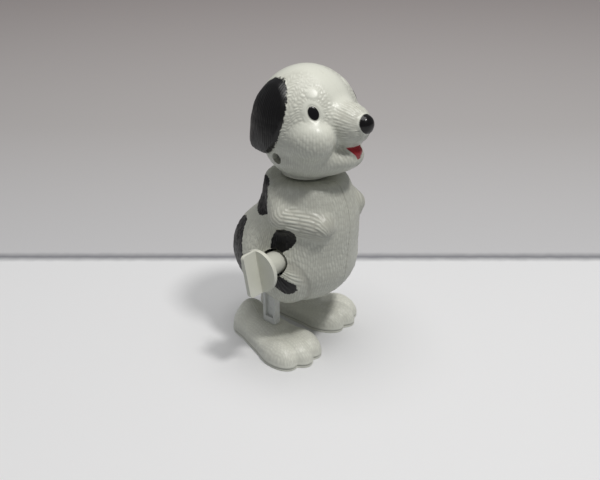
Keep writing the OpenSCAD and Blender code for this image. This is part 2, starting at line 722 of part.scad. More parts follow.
head_right();
head_left();
head_screw();
body_right();
body_left();
body_screws();
winding_key();
winding_arbor();
ratchet_wheel();
great_wheel();
click_spring();
mainspring();
motor_case();
motor_cover();
case_screws();
crank_gear();
crankshaft();
crank_right();
crank_left();
third_wheel();
governor_pinion();
governor_fly();
leg_right();
leg_left();
foot_right();
foot_left();
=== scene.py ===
# %% [markdown]
# # A wind-up walking dog
# The toy is a hollow plastic figure, moulded in halves with a fur pattern cut into the mould, then brushed
# with black and red paint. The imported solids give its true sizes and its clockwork. Here they are loaded
# first as a fixed frame, and everything that follows is built around them in the same place and scale.

# %% Load the frame
import json

import bpy
import numpy as np
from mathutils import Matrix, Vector

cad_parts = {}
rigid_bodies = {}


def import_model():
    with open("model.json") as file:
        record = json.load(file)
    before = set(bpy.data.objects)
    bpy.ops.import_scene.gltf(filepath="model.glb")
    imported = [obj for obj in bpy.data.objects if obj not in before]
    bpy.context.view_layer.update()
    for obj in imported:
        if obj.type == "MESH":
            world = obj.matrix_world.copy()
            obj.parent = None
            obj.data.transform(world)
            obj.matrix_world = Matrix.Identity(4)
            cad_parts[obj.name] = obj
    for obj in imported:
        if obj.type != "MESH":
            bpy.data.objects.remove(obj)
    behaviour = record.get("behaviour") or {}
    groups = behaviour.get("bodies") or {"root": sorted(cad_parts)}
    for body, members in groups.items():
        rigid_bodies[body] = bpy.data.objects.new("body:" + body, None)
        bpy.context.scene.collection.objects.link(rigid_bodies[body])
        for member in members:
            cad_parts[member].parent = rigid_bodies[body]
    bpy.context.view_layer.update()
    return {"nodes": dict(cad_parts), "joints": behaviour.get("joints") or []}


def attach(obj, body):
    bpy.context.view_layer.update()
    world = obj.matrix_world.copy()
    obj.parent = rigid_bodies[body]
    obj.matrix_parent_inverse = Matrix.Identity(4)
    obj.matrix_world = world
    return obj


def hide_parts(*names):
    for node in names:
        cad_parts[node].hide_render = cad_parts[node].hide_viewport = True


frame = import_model()
nodes = frame["nodes"]
MM = 0.001

# %% [markdown]
# ## The camera
# The photograph looks down on the dog's right side from the front. A camera can be pushed about by hand
# until it fits, but here four numbers do it: the turn round the toy, the height of the view, the distance
# and the lens. The toy stands a little above the middle of the picture, so the camera tilts down by that
# much and needs no lens shift, which would stay behind in every other view.

# %% Place the camera
view_turn, view_rise = np.radians(-50), np.radians(25)
view_distance = 0.260
picture_width = 600
lens_pixels = 858
pixels_above_middle = 27
toy_middle = np.array([0, -0.001, 0.042])
back = np.array([np.sin(view_turn) * np.cos(view_rise),
                 -np.cos(view_turn) * np.cos(view_rise),
                 np.sin(view_rise)])
across = np.array([np.cos(view_turn), np.sin(view_turn), 0])
upward = np.cross(back, across)

camera = bpy.data.objects.new("camera", bpy.data.cameras.new("camera"))
bpy.context.scene.collection.objects.link(camera)
camera.data.lens = camera.data.sensor_width * lens_pixels / picture_width
camera.location = toy_middle + back * view_distance
aim = Vector(-back - upward * pixels_above_middle / lens_pixels)
camera.rotation_mode = "QUATERNION"
camera.rotation_quaternion = aim.to_track_quat("-Z", "Y")
camera.data.clip_start, camera.data.clip_end = 0.01, 10
bpy.context.scene.camera = camera
bpy.context.scene.view_settings.view_transform = "Standard"
print("lens in mm:", round(camera.data.lens, 1))

# %% [markdown]
# ## The table
# The toy stands on a white sheet in front of a grey one, which grows darker further back, with a line of
# painted shadow between them. A wall would hide the toy from behind, so both sheets are one large floor,
# coloured by how far a point lies behind the toy.
# The camera and mirrors see these colours. All other light meets a dimmer sheet, because an endless white
# floor would light the dog from below more than a small sheet does.

# %% Helpers for materials
def material(name):
    """A new material, with its nodes and its main shader."""
    made = bpy.data.materials.new(name)
    made.use_nodes = True
    tree = made.node_tree
    return made, tree, tree.nodes["Principled BSDF"]

def add(tree, kind, inputs=(), **settings):
    """A new node with its settings, and with each input set to a value or linked to a socket."""
    node = tree.nodes.new("ShaderNode" + kind)
    for key, value in settings.items():
        setattr(node, key, value)
    for key, value in dict(inputs).items():
        if isinstance(value, bpy.types.NodeSocket):
            tree.links.new(value, node.inputs[key])
        else:
            node.inputs[key].default_value = value
    return node

def calculate(tree, operation, *values):
    return add(tree, "Math", enumerate(values), operation=operation).outputs["Value"]

def noise(tree, place, scale, detail=3.0):
    """Soft spots through space, from 0 to 1."""
    return add(tree, "TexNoise", {"Vector": place, "Scale": scale, "Detail": detail}).outputs["Fac"]

def spread(tree, value, low=0.0, high=1.0, start=0.0, end=1.0):
    """A number that goes from start to end while a value goes from low to high."""
    limits = {"From Min": low, "From Max": high, "To Min": start, "To Max": end}
    return add(tree, "MapRange", {"Value": value, **limits}).outputs["Result"]

def ramp(tree, factor, stops):
    """Colours that follow a factor; stops are pairs of place and colour."""
    node = add(tree, "ValToRGB", {"Fac": factor})
    while len(node.color_ramp.elements) < len(stops):
        node.color_ramp.elements.new(0.5)
    for element, (place, colour) in zip(node.color_ramp.elements, stops):
        element.position = place
        element.color = (*colour, 1)
    return node.outputs["Color"]

def mix(tree, factor, under, over):
    """One colour under another."""
    return add(tree, "Mix", {0: factor, 6: under, 7: over}, data_type="RGBA").outputs[2]

print("helpers for materials ready")

# %% Paint the sheets
sheet_end = 50 * MM
# The line between the sheets is painted shadow: these set its width and how its edges wander.
shadow_line_width, shadow_line_wander, shadow_line_grain = 1.5 * MM, 1.2 * MM, 260.0
middle_at, top_at = 0.2, 0.75
sheet_white = (0.84, 0.84, 0.85)
# This dark grey is painted shadow along the line where the white sheet meets the grey one.
shadow_line_grey = (0.25, 0.25, 0.27)
far_grey = (0.60, 0.595, 0.605)
middle_grey = (0.525, 0.503, 0.498)
top_grey = (0.55, 0.484, 0.473)
dim_sheet = (0.44, 0.455, 0.47, 1)
sheet_stops = [(0.0, sheet_white), (sheet_end, sheet_white),
               (sheet_end + 0.25 * shadow_line_width, shadow_line_grey), (sheet_end + shadow_line_width, shadow_line_grey),
               (sheet_end + 1.3 * shadow_line_width, far_grey), (middle_at, middle_grey), (top_at, top_grey)]
away_from_camera = (-np.sin(view_turn), np.cos(view_turn), 0)

floor_paint, tree, shader = material("table_sheets")
place = add(tree, "NewGeometry").outputs["Position"]
away = add(tree, "VectorMath", {0: place, 1: away_from_camera}, operation="DOT_PRODUCT").outputs["Value"]
ragged = calculate(tree, "MULTIPLY_ADD", noise(tree, place, shadow_line_grain, 4.0), shadow_line_wander, away)
sheets = ramp(tree, spread(tree, ragged), sheet_stops)
rays = add(tree, "LightPath").outputs
mirrored = calculate(tree, "MAXIMUM", rays["Is Glossy Ray"], rays["Is Transmission Ray"])
seen = calculate(tree, "MAXIMUM", rays["Is Camera Ray"], mirrored)
tree.links.new(mix(tree, seen, dim_sheet, sheets), shader.inputs["Base Color"])
shader.inputs["Roughness"].default_value = 0.7
shader.inputs["Specular IOR Level"].default_value = 0.2
print("colours on the table:", len(sheet_stops))

# %% Lay the table
floor_reach = 3.0
floor_mesh = bpy.data.meshes.new("table")
corners = [(-floor_reach, -floor_reach, 0), (floor_reach, -floor_reach, 0),
           (floor_reach, floor_reach, 0), (-floor_reach, floor_reach, 0)]
floor_mesh.from_pydata(corners, [], [(0, 1, 2, 3)])
table = bpy.data.objects.new("table", floor_mesh)
table.data.materials.append(floor_paint)
bpy.context.scene.collection.objects.link(table)
print("table reaches", floor_reach, "m each way")

# %% [markdown]
# ## The light
# A pale ceiling lights the toy softly all round. A smaller lamp high in front throws the chin's shadow on
# the chest. Point lamps would do, but their shadows have hard edges and their shine is a dot. So both are
# round area lamps, which give the shadows and the shine a size. The world fills the rest.

# %% Hang the lamps
lamp_distance = 0.8
lamp_white = (1.0, 0.99, 0.97)
room_colour, room_strength = (0.95, 0.97, 1.0, 1), 0.18

def lamp(name, direction, size, watts):
    """A round lamp that shines on the toy from a direction."""
    made = bpy.data.objects.new(name, bpy.data.lights.new(name, "AREA"))
    made.data.shape = "DISK"
    made.data.size = size
    made.data.energy = watts
    made.data.color = lamp_white
    towards = Vector(direction).normalized()
    made.location = Vector(toy_middle) + towards * lamp_distance
    made.rotation_mode = "QUATERNION"
    made.rotation_quaternion = (-towards).to_track_quat("-Z", "Y")
    bpy.context.scene.collection.objects.link(made)
    return made

ceiling_light = lamp("ceiling_light", (0, 0, 1), size=0.6, watts=3.1)
front_lamp = lamp("front_lamp", (-0.03, -0.45, 0.94), size=0.10, watts=2.5)
world = bpy.data.worlds.new("room")
bpy.context.scene.world = world
world.use_nodes = True
world.node_tree.nodes["Background"].inputs["Color"].default_value = room_colour
world.node_tree.nodes["Background"].inputs["Strength"].default_value = room_strength
print("lamps:", ceiling_light.name, front_lamp.name)

# %% [markdown]
# ## Rounded forms as distances
# A moulded animal has no sharp corners: belly, chest and arms melt into each other. Subdivided boxes can do
# that, and so can sculpting. This lesson describes each form by the distance from it instead, because two
# distances can be melted together with a fillet of any size, and the same numbers give the solids, the
# carved fur and the edges of the paint. All of these are in millimetres.

# %% Distances to round forms
def round_gap(p, middle, size):
    """Distance to an ellipsoid, below zero inside it."""
    q = (p - np.array(middle)) / size
    near = np.linalg.norm(q, axis=-1)
    slope = np.linalg.norm(q / size, axis=-1)
    return near * (near - 1) / np.maximum(slope, 1e-9)

def nearest_on_bar(p, start, end):
    """The nearest point of a straight line, and how far along it that lies, from 0 to 1."""
    line = np.subtract(end, start)
    share = np.clip((p - np.array(start)) @ line / (line @ line), 0, 1)
    return np.array(start) + share[..., None] * line, share

def bar_gap(p, start, end, start_r, end_r):
    """Distance to a round bar that may widen from one end to the other."""
    nearest, share = nearest_on_bar(p, start, end)
    return np.linalg.norm(p - nearest, axis=-1) - start_r - (end_r - start_r) * share

print("distances ready")

# %% Melting, trimming and folding
def melt(a, b, k):
    """Union of two forms with a fillet of about k."""
    h = np.maximum(k - abs(a - b), 0) / k
    return np.minimum(a, b) - h * h * k / 4

def trim(a, b, k):
    """What two forms share, with an edge rounded by about k."""
    return -melt(-a, -b, k)

def ease(low, high, v):
    """Smooth step from 0 to 1 between two values."""
    t = np.clip((v - low) / (high - low), 0, 1)
    return t * t * (3 - 2 * t)

def fold(p, middle):
    """Points as seen from a middle, with the right side laid over the left."""
    q = p - np.array(middle)
    q[..., 0] = abs(q[..., 0])
    return q

print("melting ready")

# %% [markdown]
# ## The head, the body and the feet
# The head is a ball with a muzzle, a nose, cheeks and a jaw, and each ear is a flap that swells from the
# side of the skull. The body is a big belly under an upright chest, with a breast in front, a rump behind,
# a haunch on each side and folded arms. A foot is a flat slipper with a round heel, a mound for the leg and
# three toes. Each could be sculpted, but then the solids and the mouldings would differ. So the sizes here
# repeat those of the solids, and only the ears' lower corners and the insteps are a little fuller.

# %% Form of an ear, seen from the middle of the head
ear_y, ear_z, ear_lean = 4, 2.5, 1.4
ear_half_width, ear_half_height, ear_widening = 7.5, 10.5, 0.05
ear_thickness, ear_hang = 0.8, 1.5
corner_hang, corner_power = 0.9, 1.6

def ear_place(q):
    """0 in the middle of an ear and 1 at its edge, the height on it, and 1 in its lower rear corner."""
    height = (q[..., 2] - ear_z) / ear_half_height
    width = ear_half_width * (1 + ear_widening * height)
    behind = (q[..., 1] - ear_y + ear_lean * height) / width
    corner = ease(-0.1, 0.6, behind) * ease(-0.25, -0.9, height)
    power = 2 + corner_power * corner
    return (abs(behind) ** power + abs(height) ** power) ** (1 / power), height, corner

def ear_rise(q):
    """How far an ear stands off the skull: most at its lower end."""
    place, height, corner = ear_place(q)
    rise = ear_thickness * (1 + ear_hang * np.maximum(0, -height) + corner_hang * corner)
    return rise * ease(1.08, 0.88, place) * ease(4, 8, q[..., 0])

print("ear height:", 2 * ear_half_height, "mm")

# %% Form of the head
head_middle = (0, -3.5, 72.6)
head_r, head_floor = 15.6, 56.5
skull_size = (0.98 * head_r, 0.96 * head_r, head_r)
muzzle_start, muzzle_end, muzzle_r = (0, -4, 1), (0, -15.3, 1.5), 6.2
nose_middle, nose_size = (0, -20.5, 2.5), (2.9, 2.4, 2.9)
cheek_middle, cheek_size = (8.3, -7, -2.2), (6.6, 8.8, 6.8)
jaw_middle, jaw_size = (0, -9.2, -8.2), (8.4, 9.8, 4.8)
tongue_middle, tongue_size = (0, -16.4, -6), (2.9, 3, 2.6)
base_middle, base_size = (0, -1.5, -8), (13.5, 12.5, 8.5)
muzzle_fillet, base_fillet, jaw_fillet, cheek_fillet = 2.5, 4, 0.8, 1.2
tongue_fillet, nose_fillet, floor_fillet = 0.3, 0.6, 1.5

def muzzle_gap(q):
    return bar_gap(q, muzzle_start, muzzle_end, muzzle_r, muzzle_r)

def jaw_gap(q):
    """Distance to the jaw and the base of the head, melted into one form."""
    return melt(round_gap(q, jaw_middle, jaw_size), round_gap(q, base_middle, base_size), base_fillet)

def head_gap(p):
    q = fold(p, head_middle)
    skull = round_gap(q, (0, 0, 0), skull_size)
    face = melt(melt(skull, muzzle_gap(q), muzzle_fillet), jaw_gap(q), jaw_fillet)
    face = melt(face, round_gap(q, cheek_middle, cheek_size), cheek_fillet)
    face = melt(face, round_gap(q, tongue_middle, tongue_size), tongue_fillet)
    face = melt(face, round_gap(q, nose_middle, nose_size), nose_fillet)
    return trim(face, head_floor - p[..., 2], floor_fillet) - ear_rise(q)

print("head radius:", head_r, "mm")

# %% Form of an arm, seen from the middle of the belly
shoulder, elbow, hand, arm_r = (10.5, -2.5, 22), (13.2, -6, 16.6), (8, -15.8, 14.9), 4.2

def arm_bone(q, hand_lift):
    """The nearest point of the line through an arm, and how far that lies beyond the elbow."""
    palm = np.add(hand, (0, hand_lift / 2, hand_lift))
    upper, upper_share = nearest_on_bar(q, shoulder, elbow)
    lower, lower_share = nearest_on_bar(q, elbow, palm)
    use_lower = np.linalg.norm(q - lower, axis=-1) < np.linalg.norm(q - upper, axis=-1)
    upper_length = np.linalg.norm(np.subtract(elbow, shoulder))
    lower_length = np.linalg.norm(palm - elbow)
    along = np.where(use_lower, lower_share * lower_length, (upper_share - 1) * upper_length)
    return np.where(use_lower[..., None], lower, upper), along

def arm_gap(q, hand_lift):
    return np.linalg.norm(q - arm_bone(q, hand_lift)[0], axis=-1) - arm_r

print("arm thickness:", 2 * arm_r, "mm")

# %% Form of the body
belly_middle, belly_size = (0, 0.5, 29.9), (18.5, 19.5, 15.75)
chest_middle, chest_size, chest_fillet = (0, -3.5, 17), (12.75, 13, 23), 8
breast_middle, breast_size, breast_fillet = (0, -8, 13), (13, 12.6, 15.5), 4
rump_middle, rump_size, rump_fillet = (0, 10.5, -1.5), (11, 10.5, 11.5), 5
haunch_middle, haunch_size, haunch_fillet = (10.3, -5, -2.5), (8, 9.2, 10), 1.2
shoulder_height, arm_fillet, shoulder_fillet = 56.1, 1.5, 2

def body_gap(p, hand_lift):
    q = fold(p, belly_middle)
    trunk = round_gap(q, (0, 0, 0), belly_size)
    for middle, size, fillet in ((chest_middle, chest_size, chest_fillet),
                                 (breast_middle, breast_size, breast_fillet),
                                 (rump_middle, rump_size, rump_fillet),
                                 (haunch_middle, haunch_size, haunch_fillet)):
        trunk = melt(trunk, round_gap(q, middle, size), fillet)
    armed = melt(trunk, arm_gap(q, hand_lift), arm_fillet)
    return trim(armed, p[..., 2] - shoulder_height, shoulder_fillet)

print("shoulder height:", shoulder_height, "mm")

# %% Form of a foot, measured up from the floor, ahead of the leg and out to the side
foot_height, slipper_height, slipper_drop, slipper_round = 6.6, 5.6, 0.4, 4
heel_at, heel_r, heel_size = -10.2, 5.8, (9.9, 5.8, 5.6)
ball_at, ball_r = 7.5, 9
ankle_at, ankle_size, ankle_top, ankle_round = -1, (9.2, 8, 6), 7.6, 1.2
toe_at, toe_span, toe_step_back, toe_size = 11.5, 4.8, 1.6, (foot_height - 1, 7, 4.5)
mound_fillet, toe_fillet = 2, 1.2

def foot_gap(p):
    up, ahead = p[..., 0], p[..., 1]
    slope = np.clip((ahead - heel_at) / (ball_at - heel_at), 0, 1.4)
    outline = bar_gap(p * [0, 1, 1], (0, heel_at, 0), (0, ball_at, 0), heel_r, ball_r)
    slipper = trim(outline, up - slipper_height + slipper_drop * slope, slipper_round)
    heel = round_gap(p, (1, heel_at, 0), heel_size)
    ankle = trim(round_gap(p, (0, ankle_at, 0), ankle_size), up - ankle_top, ankle_round)
    toes = [round_gap(p, (1, toe_at - toe_step_back * abs(side), toe_span * side), toe_size)
            for side in (-1, 0, 1)]
    mounds = melt(melt(slipper, heel, mound_fillet), ankle, mound_fillet)
    return melt(mounds, np.minimum.reduce(toes), toe_fillet)

print("foot height:", ankle_top, "mm")

# %% [markdown]
# ## Half mouldings
# Each half came out of its own mould and is a shell of one wall thickness. To make one, rays go out from a
# point inside the form, and each ray is halved again and again until it ends on the surface. A second set
# stops one wall short. The two nets and a flat rim between them close up to a solid half.

# %% Rays
shell_wall = 1.5
beyond = 60
halvings, slope_step = 24, 0.01

def ray_fan(steps, rows, stretch=(1, 1, 1)):
    """Directions over half a ball, in rings round the +X axis."""
    tilt, turn = np.meshgrid(np.linspace(0, np.pi / 2, rows + 1)[1:],
                             2 * np.pi * np.arange(steps) / steps, indexing="ij")
    fan = np.stack([np.cos(tilt), np.sin(tilt) * np.cos(turn), np.sin(tilt) * np.sin(turn)], axis=-1)
    return np.vstack([[1, 0, 0], fan.reshape(-1, 3)]) * stretch

def reach(gap, start, rays, inset=0):
    """Points where rays meet a form, or the form taken in by an inset."""
    near = np.zeros(len(rays))
    far = np.full(len(rays), float(beyond))
    for _ in range(halvings):
        middle = (near + far) / 2
        inside = gap(start + middle[:, None] * rays) + inset < 0
        near = np.where(inside, middle, near)
        far = np.where(inside, far, middle)
    return start + near[:, None] * rays

def outward(gap, p):
    """Directions straight out of a form."""
    slopes = np.stack([gap(p + step) - gap(p - step) for step in slope_step * np.eye(3)], axis=-1)
    return slopes / np.linalg.norm(slopes, axis=-1, keepdims=True)

print("rays ready")

# %% Nets
def net_faces(first, steps, rows):
    """Faces of a net of rays, counted from its first point."""
    turn = np.arange(steps)
    after = (turn + 1) % steps
    cap = np.stack([np.full(steps, first), first + 1 + turn, first + 1 + after], axis=1).tolist()
    for row in range(rows - 1):
        low = first + 1 + row * steps
        high = low + steps
        cap += np.stack([low + turn, high + turn, high + after, low + after], axis=1).tolist()
    return cap

def closed_half(outer, inner, steps):
    """A solid half from an outer net and either an inner net or a single inner point."""
    rows, inner_rows = (len(outer) - 1) // steps, (len(inner) - 1) // steps
    turn = np.arange(steps)
    after = (turn + 1) % steps
    edge = len(outer) - steps
    faces = net_faces(0, steps, rows)
    if inner_rows:
        faces += [face[::-1] for face in net_faces(len(outer), steps, inner_rows)]
        rim = len(outer) + len(inner) - steps
        faces += np.stack([edge + turn, rim + turn, rim + after, edge + after], axis=1).tolist()
    else:
        faces += np.stack([edge + turn, np.full(steps, len(outer)), edge + after], axis=1).tolist()
    return np.vstack([outer, inner]), faces

print("nets ready")

# %% Solid halves
inner_rows = 10

def solid(name, points, faces):
    """An object from points in millimetres."""
    mesh = bpy.data.meshes.new(name)
    mesh.from_pydata((np.array(points) * MM).tolist(), [], faces)
    made = bpy.data.objects.new(name, mesh)
    bpy.context.scene.collection.objects.link(made)
    return made

def carved_half(name, gap, relief, middle, steps, rows):
    """A hollow half on the +X side with its relief carved into the outer skin."""
    outer = reach(gap, np.array(middle), ray_fan(steps, rows))
    normal = outward(gap, outer)
    normal[-steps:, 0] = 0
    outer = outer + normal * relief(outer)[:, None]
    inner = reach(gap, np.array(middle), ray_fan(steps, inner_rows), shell_wall)
    points, faces = closed_half(outer, inner, steps)
    points[abs(points[:, 0]) < 1e-6, 0] = 0
    return solid(name, points, faces)

print("walls of", shell_wall, "mm")

# %% [markdown]
# ## Fur
# The mould maker cut the fur as short grooves with a graver: rings of dashes round the eyes, strokes along
# the muzzle towards the nose, long sweeps down the forearms, a fan on the haunch, dashes on the feet and
# fine upright hair elsewhere. A bump map could fake this, but then the outline stays smooth and the light
# never catches a real ridge. So each stroke moves the surface itself: lanes lie side by side, each lane is
# cut into hairs, and every hair has a height of its own. Strokes go inward, so the toy keeps its size.

# %% Strokes of the graver
ring_width, ring_shift, ring_taper = 3.2, 37, 0.9

def scatter(*cells):
    """A number from 0 to 1 that looks random but is the same each time for the same cells."""
    mixed = sum(cell * weight for cell, weight in zip(cells, (12.9898, 78.233, 37.719)))
    return abs(np.sin(mixed) * 43758.5453) % 1

def sway(q, pitch, seed):
    """A slow wave from -1 to 1 through space, so that no two strokes run quite alike."""
    first = np.sin(q @ np.array([0.61, 0.53, 0.59]) / pitch + seed)
    return (first + np.sin(q @ np.array([-0.48, 0.71, -0.51]) / pitch + 2.3 * seed + first)) / 2

def hairs(along, lanes, length, seed, taper=0.35):
    """Height of hairs along lanes of one unit: 0 between hairs and up to 1 on them."""
    lane = np.floor(lanes)
    cells = along / length + scatter(lane, seed)
    cell = np.floor(cells)
    ridge = np.sin(np.pi * (lanes - lane)) * np.sin(np.pi * (cells - cell)) ** taper
    return ridge * (0.4 + 0.6 * scatter(lane, cell, seed))

def ring_hairs(radius, turn, spacing, length, seed):
    """Hairs that point away from a middle, with more of them in each wider ring."""
    ring = np.floor(radius / ring_width)
    count = np.round(2 * np.pi * (ring + 0.5) * ring_width / spacing)
    lanes = (turn / (2 * np.pi) + 0.5) * count + ring_shift * ring
    return hairs(radius, lanes, length, seed, ring_taper)

print("strokes ready")

# %% [markdown]
# ## The face
# The eyes are low domes with a groove round each one, and the nose and the tongue are bare knobs. Separate
# balls would do, but a moulded face is one skin, so it swells to make them. The paint later follows the
# same outlines, so they are worked out once, here.

# %% Eyes, nose and tongue
eye_half_width, eye_half_height, eye_lean = 1.45, 2.0, np.radians(25)
eye_zone, far_off = 4, 9
tongue_point, tongue_widening = 0.8, 1.7
nose_edge, nose_lean = -20.9, 0.45
tongue_margin, nose_margin = 0.12, 0.15

def eye_frame(middle):
    """The middle of an eye, with the directions to the rear and up along the skin."""
    normal = outward(head_gap, np.array([head_middle]) + middle)[0]
    up = np.array([0, 0, 1]) - normal * normal[2]
    up = up / np.linalg.norm(up)
    return np.array(middle), np.cross(up, normal), up

def eye_place(q, eye):
    """Distance from the middle of an eye, the turn round it, and 1 on the edge of the eye."""
    middle, rear, up = eye
    behind, over = (q - middle) @ rear, (q - middle) @ up
    long = over * np.cos(eye_lean) + behind * np.sin(eye_lean)
    short = behind * np.cos(eye_lean) - over * np.sin(eye_lean)
    radius = np.hypot(behind, over)
    edge = np.hypot(short / eye_half_width, long / eye_half_height)
    return radius, np.arctan2(over, behind), np.where(radius < eye_zone, edge, far_off)

def tongue_gap(q):
    """Distance to the part of the tongue that shows, narrower towards its point."""
    narrow = q[..., 0] - tongue_point - tongue_widening * ease(-7.8, -4.6, q[..., 2])
    return np.maximum(round_gap(q, tongue_middle, tongue_size) - tongue_margin, narrow)

def nose_gap(q):
    """Distance to the black end of the nose, which leans back at the top."""
    front = q[..., 1] - nose_edge - nose_lean * (q[..., 2] - nose_middle[2])
    return np.maximum(round_gap(q, nose_middle, nose_size) - nose_margin, front)

right_eye = eye_frame((9.5, -10.2, 6.0))
left_eye = eye_frame((11.1, -8.4, 6.0))
print("right eye at", right_eye[0], "from the middle of the head")

# %% Where each kind of fur grows on the head
brow_at = np.array([7.35, -8.2, 10.6])
ring_reach, ring_reach_behind = 11, 4

def head_zones(q, eye):
    """How much each kind of fur holds at a point, from 0 to 1."""
    x, y, z = q[..., 0], q[..., 1], q[..., 2]
    radius, _, edge = eye_place(q, eye)
    muzzle = ease(0.8, 0.1, muzzle_gap(q)) * ease(-7, -10, y)
    cheek = ease(0.7, 0.0, round_gap(q, cheek_middle, cheek_size)) * (1 - muzzle)
    ear = ease(1.03, 0.97, ear_place(q)[0]) * ease(4, 7, x)
    free = (1 - muzzle) * (1 - ear)
    ring_end = ring_reach + ring_reach_behind * ease(-8, -3, y)
    round_eye = ease(0, -4, radius - ring_end) * ease(1.5, 2.2, edge) * ease(2, 6, x)
    rings = round_eye * free * (1 - cheek)
    return {"muzzle": muzzle, "ear": ear, "rings": rings,
            "bare": ease(0.5, 0.2, np.minimum(nose_gap(q), tongue_gap(q))),
            "brow": ease(2.4, 1.2, np.linalg.norm(q - brow_at, axis=-1)),
            "low": ease(4, -2, z) * free * (1 - rings),
            "crown": ease(6, 9, z) * free * (1 - rings)}

print("dashes reach up to", ring_reach + ring_reach_behind, "mm from an eye")

# %% Relief of the head, with the depth of each cut
under_skin = 0.06
lane_sway = 0.7
fine_lane, fine_length = 0.72, 2.0
ring_cut, ring_lane, ring_length, ring_sway = 0.17, 0.95, 1.4, 0.14
muzzle_cut, muzzle_lane, muzzle_length = 0.24, 0.9, 3.2
ear_cut, ear_lane, ear_length, ear_sway = 0.14, 0.75, 5, 0.4
low_cut, crown_cut, lip_cut, head_seam_cut, seam_half = 0.20, 0.04, 0.28, 0.03, 0.3
eye_swell, eye_rim_cut, brow_swell = 0.18, 0.12, 0.10

def head_relief(p, eye, seed):
    q = fold(p, head_middle)
    x, y, z = q[..., 0], q[..., 1], q[..., 2]
    zone = head_zones(q, eye)
    radius, turn, edge = eye_place(q, eye)
    wave = sway(q, 1.6, seed)
    round_muzzle = np.arctan2(z - muzzle_end[2], x) * muzzle_r
    round_head = np.arctan2(y, x) * head_r
    rings = ring_hairs(radius, turn + ring_sway * sway(q, 0.7, seed + 5), ring_lane, ring_length, seed)
    strokes = hairs(y, round_muzzle / muzzle_lane + lane_sway * wave, muzzle_length, seed + 1)
    ear = hairs(z, y / ear_lane + ear_sway * wave, ear_length, seed + 2)
    upright = hairs(z, round_head / fine_lane + lane_sway * wave, fine_length, seed + 3)
    fur = ring_cut * zone["rings"] * (1 - zone["brow"]) * (rings - 1)
    fur += muzzle_cut * zone["muzzle"] * (1 - zone["bare"]) * (strokes - 1)
    fur += ear_cut * zone["ear"] * (ear - 1)
    fur += (low_cut * zone["low"] + crown_cut * zone["crown"]) * (upright - 1)
    swell = eye_swell * np.sqrt(np.clip(1 - edge ** 2, 0, 1)) - eye_rim_cut * ease(0.25, 0, abs(edge - 1.1))
    swell += brow_swell * zone["brow"] * (1 - zone["muzzle"])
    lip = ease(0.8, 0.25, np.maximum(muzzle_gap(q), jaw_gap(q))) * ease(-8, -10, y)
    lines = lip_cut * lip + head_seam_cut * ease(seam_half, 0, x)
    return fur + swell - lines * (1 - zone["bare"]) - under_skin

print("deepest stroke on the head:", muzzle_cut, "mm")

# %% Relief of the body, with the depth of each cut
arm_cut, arm_lane, arm_length = 0.36, 0.95, 4.5
haunch_cut, haunch_lane, haunch_length, haunch_turn_r = 0.26, 0.9, 4, 7
body_cut, body_turn_r, haunch_line_cut, body_seam_cut = 0.24, 17, 0.20, 0.10
arm_across = np.array([0, 0.564, -0.826])

def joint_at(name):
    """Where a joint of the frame turns, in millimetres."""
    joint = next(joint for joint in frame["joints"] if joint["name"] == name)
    return np.array(joint["pos_m"]) / MM

keyhole_at = joint_at("key_wind")[1:]

def body_relief(p, hand_lift, seed):
    q = fold(p, belly_middle)
    x, y, z = q[..., 0], q[..., 1], q[..., 2]
    bone, along = arm_bone(q, hand_lift)
    from_bone = q - bone
    on_arm = ease(0.9, 0.1, np.linalg.norm(from_bone, axis=-1) - arm_r) * ease(-3, 1, along)
    round_arm = np.arctan2(from_bone @ arm_across, from_bone[..., 0]) * arm_r
    from_key = p[..., 1:] - keyhole_at
    key_radius = np.linalg.norm(from_key, axis=-1)
    round_key = np.arctan2(from_key[..., 1], from_key[..., 0]) * haunch_turn_r
    round_body = np.arctan2(y, x) * body_turn_r
    wave = sway(q, 1.7, seed)
    in_haunch = round_gap(q, haunch_middle, haunch_size)
    on_haunch = ease(0.6, 0.0, in_haunch) * ease(11, 9, key_radius) * (1 - on_arm)
    sweeps = hairs(along, round_arm / arm_lane + lane_sway * wave, arm_length, seed)
    fan = hairs(key_radius, round_key / haunch_lane, haunch_length, seed + 1)
    upright = hairs(z, round_body / fine_lane + lane_sway * wave, fine_length, seed + 2)
    fur = arm_cut * on_arm * (sweeps - 1) + haunch_cut * on_haunch * (fan - 1)
    fur += body_cut * (1 - on_arm) * (1 - on_haunch) * (upright - 1)
    haunch_line = ease(0.5, 0, abs(in_haunch - 0.6)) * ease(-4, -7, y) * ease(8, 3, z) * (1 - on_arm)
    return fur - haunch_line_cut * haunch_line - body_seam_cut * ease(seam_half, 0, x) - under_skin

print("keyhole at", keyhole_at.round(2), "mm")

# %% [markdown]
# ## Joining and cutting
# A moulded shell also has bosses for its screws, pegs that line the halves up, and holes for the key, the
# legs and the neck. They are plain prisms, added to each half or cut from it with a boolean. Modelling them
# in the nets would leave long thin faces. The prisms are measured on the left side, and a right half is
# mirrored when it is done.

# %% Prisms
def circle(radius, middle=(0, 0), start=0, end=360, steps=64):
    """Points of a circle, or of an arc from start to end in degrees."""
    turn = np.radians(np.linspace(start, end, steps, endpoint=end - start < 360))
    return np.stack([np.cos(turn), np.sin(turn)], axis=1) * radius + middle

def rectangle(low, high):
    return np.array([low, (high[0], low[1]), high, (low[0], high[1])])

def prism(outline, low, high, along_x=True):
    """A closed solid with an outline across X, or across Z."""
    count = len(outline)
    ends = [np.insert(outline, 0 if along_x else 2, level, axis=1) for level in (low, high)]
    turn = np.arange(count)
    after = (turn + 1) % count
    faces = [turn[::-1].tolist(), (turn + count).tolist()]
    faces += np.stack([turn, after, after + count, turn + count], axis=1).tolist()
    return solid("tool", np.vstack(ends), faces)

print("prisms ready")

# %% Bosses, recesses, pegs and sockets
screw_r, screw_recess_r = 1.02, 1.7
boss_r, recess_r, recess_depth, recess_floor, bite = 2.1, 2.6, 2.3, 0.9, 7.2
peg_r, peg_reach, peg_play, socket_r = 1.0, 2.0, 0.3, 2.0

